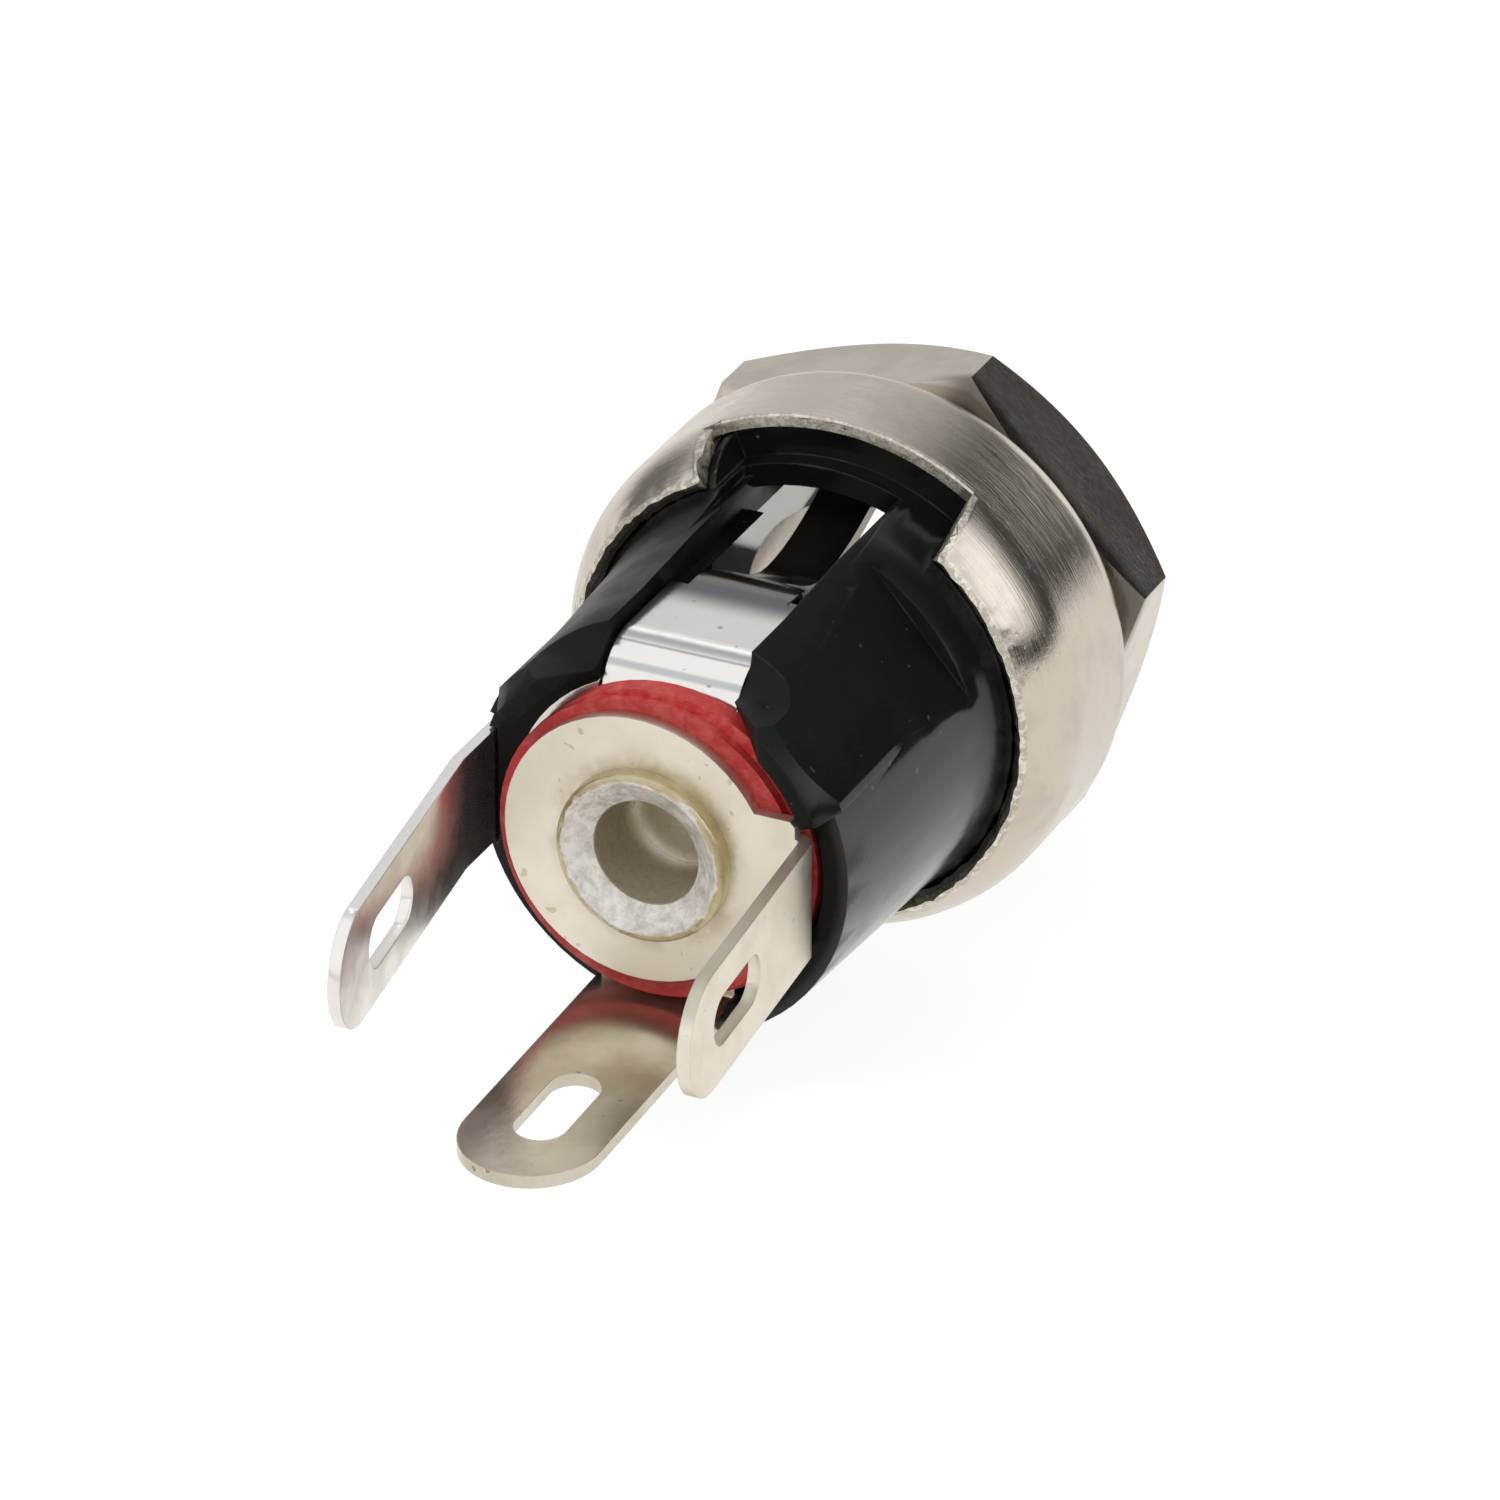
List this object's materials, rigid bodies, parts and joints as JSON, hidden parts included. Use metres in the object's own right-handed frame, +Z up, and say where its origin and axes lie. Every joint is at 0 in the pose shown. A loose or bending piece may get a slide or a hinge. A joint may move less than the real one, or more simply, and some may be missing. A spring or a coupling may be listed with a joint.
{
  "type": "panel mount dc barrel jack",
  "caption": "Round panel-mount dc barrel jack: plated threaded bushing with hex nut, crimped shell, black housing with an open spring channel, and slotted solder lugs at the rear.",
  "frame": {"origin": "centre of the shell's front face, on the jack's axis, where it seats against the panel", "axes": "+Y along the jack's axis, out of the mouth that the plug goes into; +Z up through the open channel over the spring; +X towards the folded lug of the ring terminal"},
  "size_m": [0.0124, 0.0252, 0.0124],
  "materials": {
    "nickel_shell": "nickel plated, turned and crimped, light scratches",
    "nickel_nut": "nickel plated, satin flats",
    "black_plastic": "black moulded plastic, satin",
    "rivet_metal": "tinned brass with a rough rolled edge",
    "tinned_terminal": "tin plated, satin cream",
    "red_fibre_rear": "red vulcanised fibre",
    "red_fibre_front": "red vulcanised fibre",
    "bright_contact": "nickel plated sheet, polished arm and satin lug",
    "satin_contact": "nickel plated sheet, satin"
  },
  "bodies": {
    "root": {"bushing_shell": "nickel_shell", "hex_nut": "nickel_nut", "housing": "black_plastic", "centre_pin": "rivet_metal", "pin_terminal": "tinned_terminal", "rear_fibre_washer": "red_fibre_rear", "front_fibre_washer": "red_fibre_front", "sleeve_contact": "bright_contact", "shunt_contact": "satin_contact"}
  },
  "joints": []
}
